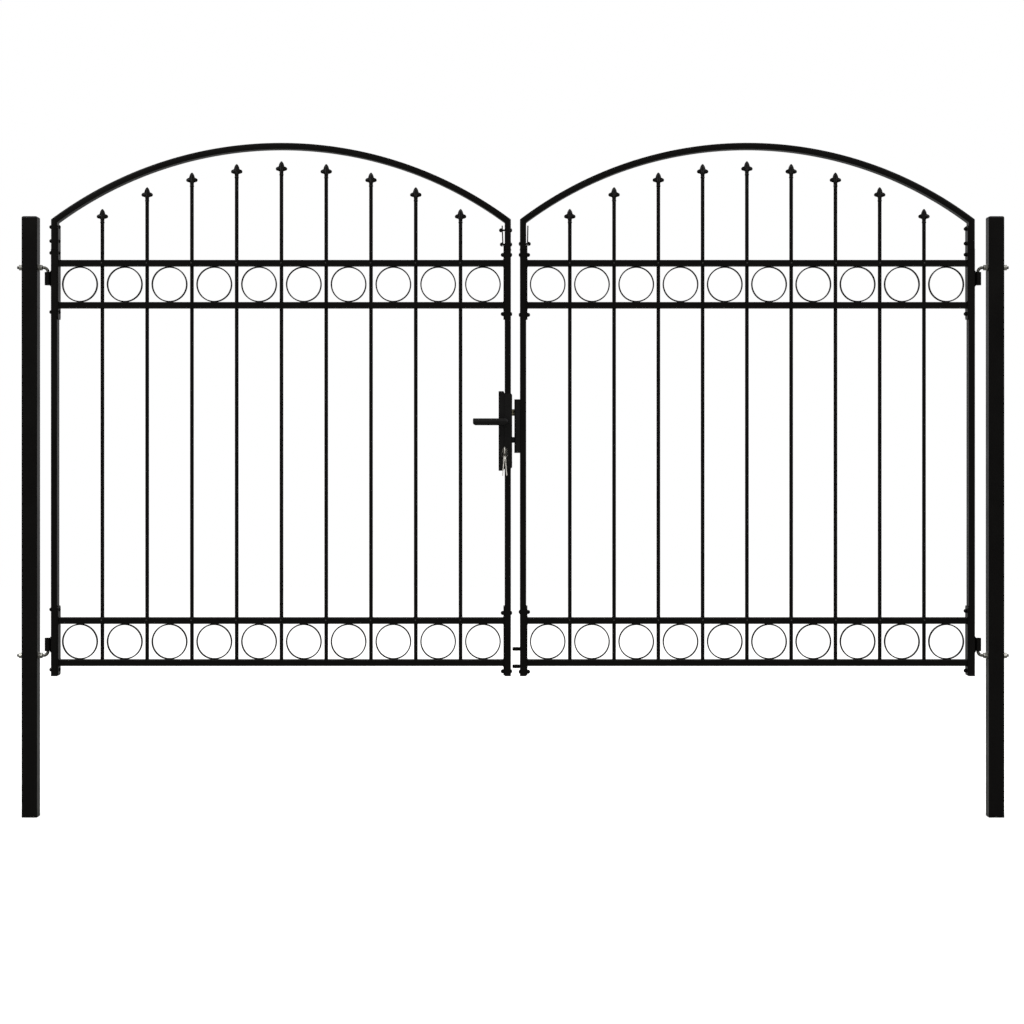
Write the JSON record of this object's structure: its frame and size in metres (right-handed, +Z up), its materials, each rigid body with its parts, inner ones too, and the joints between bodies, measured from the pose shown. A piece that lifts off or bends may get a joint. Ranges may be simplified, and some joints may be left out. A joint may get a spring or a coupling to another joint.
{
  "type": "double-leaf steel gate with posts",
  "caption": "Double-leaf steel gate with arched heads, spear bars and ring bands, hung on hook bolts between square posts, with lock, lever handles and keys.",
  "frame": {"origin": "middle of the left post's flat foot", "axes": "+X from the left post to the right post, +Y away from the viewer (the side to which the leaves open), +Z up"},
  "size_m": [3.183, 0.128, 2.161],
  "materials": {
    "black_coat": "satin black polyester powder coat on steel",
    "black_plastic": "moulded black polyethylene",
    "zinc_plate": "dull zinc plating",
    "nickel_plate": "nickel plating, lightly worn",
    "latch_brass": "sintered latch with a dull yellow plating",
    "dark_steel": "blackened steel",
    "lever_black": "satin black coated metal"
  },
  "bodies": {
    "posts": {"left_post": "black_coat", "right_post": "black_coat", "post_caps": "black_plastic", "hook_bolts": "zinc_plate", "hook_nuts": "zinc_plate"},
    "left_leaf": {"left_hinge_stile": "black_coat", "left_meeting_stile": "black_coat", "left_arch": "black_coat", "left_upper_rails": "black_coat", "left_lower_rails": "black_coat", "left_bars": "black_coat", "left_spears": "black_coat", "left_upper_rings": "black_coat", "left_lower_rings": "black_coat", "left_straps": "black_coat", "left_foot_plugs": "black_plastic", "left_hinge_eyes": "black_coat", "lock_case": "black_coat", "forend": "black_coat", "lock_cylinder": "nickel_plate"},
    "right_leaf": {"right_hinge_stile": "black_coat", "right_meeting_stile": "black_coat", "right_arch": "black_coat", "right_upper_rails": "black_coat", "right_lower_rails": "black_coat", "right_bars": "black_coat", "right_spears": "black_coat", "right_upper_rings": "black_coat", "right_lower_rings": "black_coat", "right_straps": "black_coat", "right_foot_plugs": "black_plastic", "right_hinge_eyes": "black_coat", "keeper": "black_coat", "guide_eyes": "black_coat"},
    "lever": {"front_lever": "lever_black", "back_lever": "lever_black"},
    "latch": {"latch_bolt": "latch_brass"},
    "turned_key": {"key_plug": "nickel_plate", "key": "nickel_plate"},
    "dead_bolt": {"dead_bolt": "dark_steel"},
    "hanging_keys": {"key_ring": "dark_steel", "spare_keys": "nickel_plate"}
  },
  "joints": [
    {"name": "left_leaf_swing", "type": "hinge", "parent": "posts", "child": "left_leaf", "pos_m": [0.055, 0, 0.5], "axis": [0, 0, 1], "range_deg": [0, 90]},
    {"name": "right_leaf_swing", "type": "hinge", "parent": "posts", "child": "right_leaf", "pos_m": [3.041, 0, 0.5], "axis": [0, 0, -1], "range_deg": [0, 90]},
    {"name": "lever_turn", "type": "hinge", "parent": "left_leaf", "child": "lever", "pos_m": [1.5215, 0, 1.267], "axis": [0, -1, 0], "range_deg": [0, 40], "stiffness_Nm_per_rad": 1.2, "springref_deg": -28.65},
    {"name": "latch_slide", "type": "slide", "parent": "left_leaf", "child": "latch", "axis": [-1, 0, 0], "range_m": [0, 0.012]},
    {"name": "key_turn", "type": "hinge", "parent": "left_leaf", "child": "turned_key", "pos_m": [1.5215, 0, 1.175], "axis": [0, -1, 0], "range_deg": [0, 90]},
    {"name": "dead_bolt_slide", "type": "slide", "parent": "left_leaf", "child": "dead_bolt", "axis": [-1, 0, 0], "range_m": [0, 0.0195]},
    {"name": "key_ring_swing", "type": "hinge", "parent": "turned_key", "child": "hanging_keys", "pos_m": [1.5215, -0.04956, 1.175], "axis": [-1, 0, 0], "range_deg": [-10, 80]}
  ],
  "couplings": [
    {"joint": "latch_slide", "follows": "lever_turn", "m_per_rad": 0.017189},
    {"joint": "dead_bolt_slide", "follows": "key_turn", "m_per_rad": 0.012414}
  ]
}
